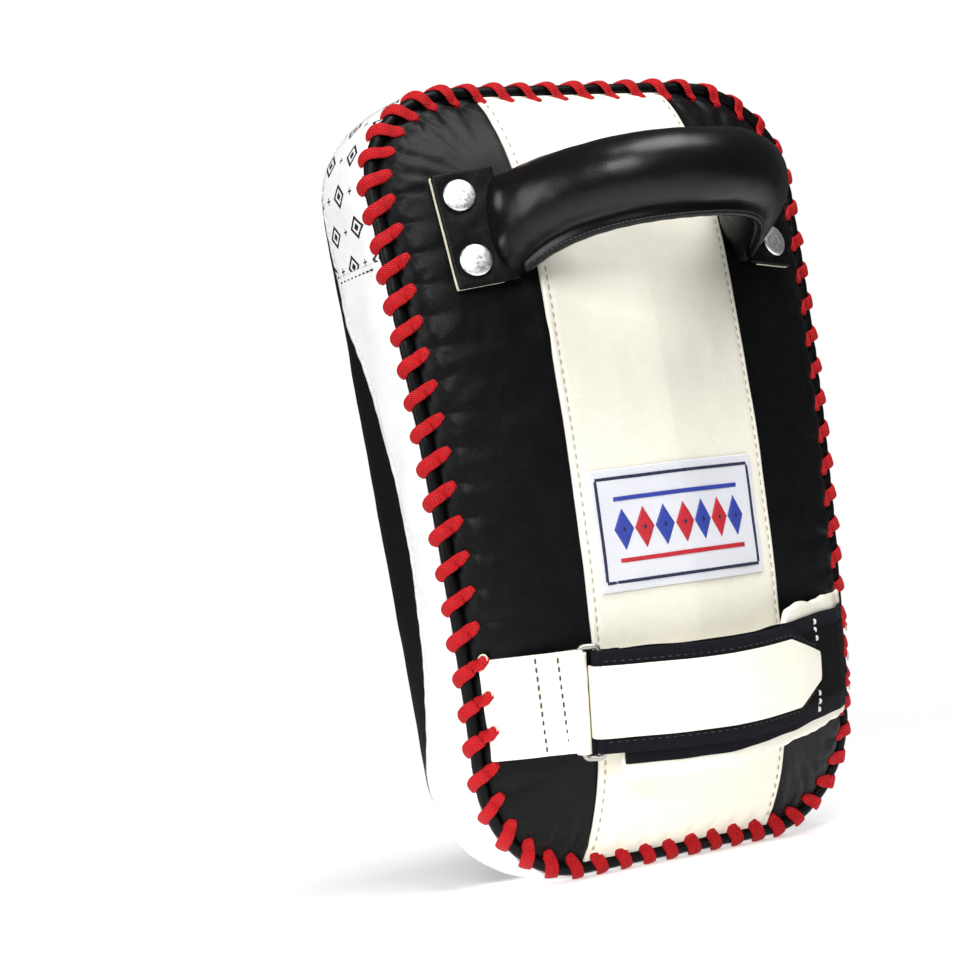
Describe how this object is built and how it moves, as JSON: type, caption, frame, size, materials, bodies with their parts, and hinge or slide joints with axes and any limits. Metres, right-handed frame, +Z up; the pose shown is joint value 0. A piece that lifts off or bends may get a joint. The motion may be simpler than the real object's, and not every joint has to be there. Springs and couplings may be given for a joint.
{
  "type": "thai pad",
  "caption": "Curved padded striking shield with a riveted arched hand grip, a ring-and-flap forearm strap and a laced edge.",
  "frame": {"origin": "middle of the part's footprint, at the height of its lowest point, with the pad standing on its lower end", "axes": "+Z up the pad's long axis towards the hand grip's end, +Y out of the strike face, -Y out of the back with the grip and strap, +X to the right seen from the back"},
  "size_m": [0.215, 0.1658, 0.3368],
  "materials": {
    "black_leather": "semi-gloss grained",
    "white_leather": "glossy smooth",
    "cream_leather": "semi-gloss smooth",
    "white_printed_leather": "glossy with a small black printed pattern",
    "raw_leather": "undyed, matt",
    "red_lace": "braided, matt",
    "black_tape": "woven hook and loop tape",
    "label_cloth": "woven satin",
    "navy_thread": "thread",
    "light_thread": "thread",
    "dark_thread": "thread",
    "nickel": "polished nickel plate",
    "steel_wire": "dull nickel plate",
    "soft_foam": "open cell, matt",
    "firm_foam": "closed cell, matt",
    "felt": "pressed, matt"
  },
  "bodies": {
    "root": {"strike_cover": "black_leather", "side_band_upper": "white_printed_leather", "side_band_lower": "white_leather", "band_join_stitching": "dark_thread", "back_panel_left": "black_leather", "back_panel_right": "black_leather", "centre_strip": "cream_leather", "centre_strip_stitching": "light_thread", "edge_welt": "black_leather", "welt_filler": "felt", "edge_lace": "red_lace", "impact_foam": "soft_foam", "core_foam": "firm_foam", "backing_foam": "firm_foam", "handle_cover": "black_leather", "handle_core": "felt", "handle_tab_left": "black_leather", "handle_tab_right": "black_leather", "tab_lining_left": "raw_leather", "tab_lining_right": "raw_leather", "handle_stitching": "dark_thread", "rivet_caps": "nickel", "rivet_posts": "steel_wire", "rivet_washers": "steel_wire", "rivet_backing_left": "raw_leather", "rivet_backing_right": "raw_leather", "label_patch": "label_cloth", "label_stitching": "navy_thread", "anchor_tab": "cream_leather", "anchor_stitching": "dark_thread", "cuff_cover": "white_leather", "cuff_foam": "soft_foam", "cuff_loop_tape": "black_tape", "cuff_stitching": "light_thread"},
    "ring": {"strap_ring": "steel_wire", "strap_turn": "black_tape"},
    "flap": {"flap_webbing": "black_tape", "flap_facing": "cream_leather", "flap_hook_tape": "black_tape", "flap_stitching": "light_thread"}
  },
  "joints": [
    {"name": "ring_swing", "type": "hinge", "parent": "root", "child": "ring", "pos_m": [-0.05853, -0.01686, 0.07354], "axis": [0, 0.1564, -0.9877], "range_deg": [0, 25]},
    {"name": "flap_peel", "type": "hinge", "parent": "ring", "child": "flap", "pos_m": [-0.0526, -0.02361, 0.07247], "axis": [0, 0.1564, -0.9877], "range_deg": [0, 140]}
  ]
}
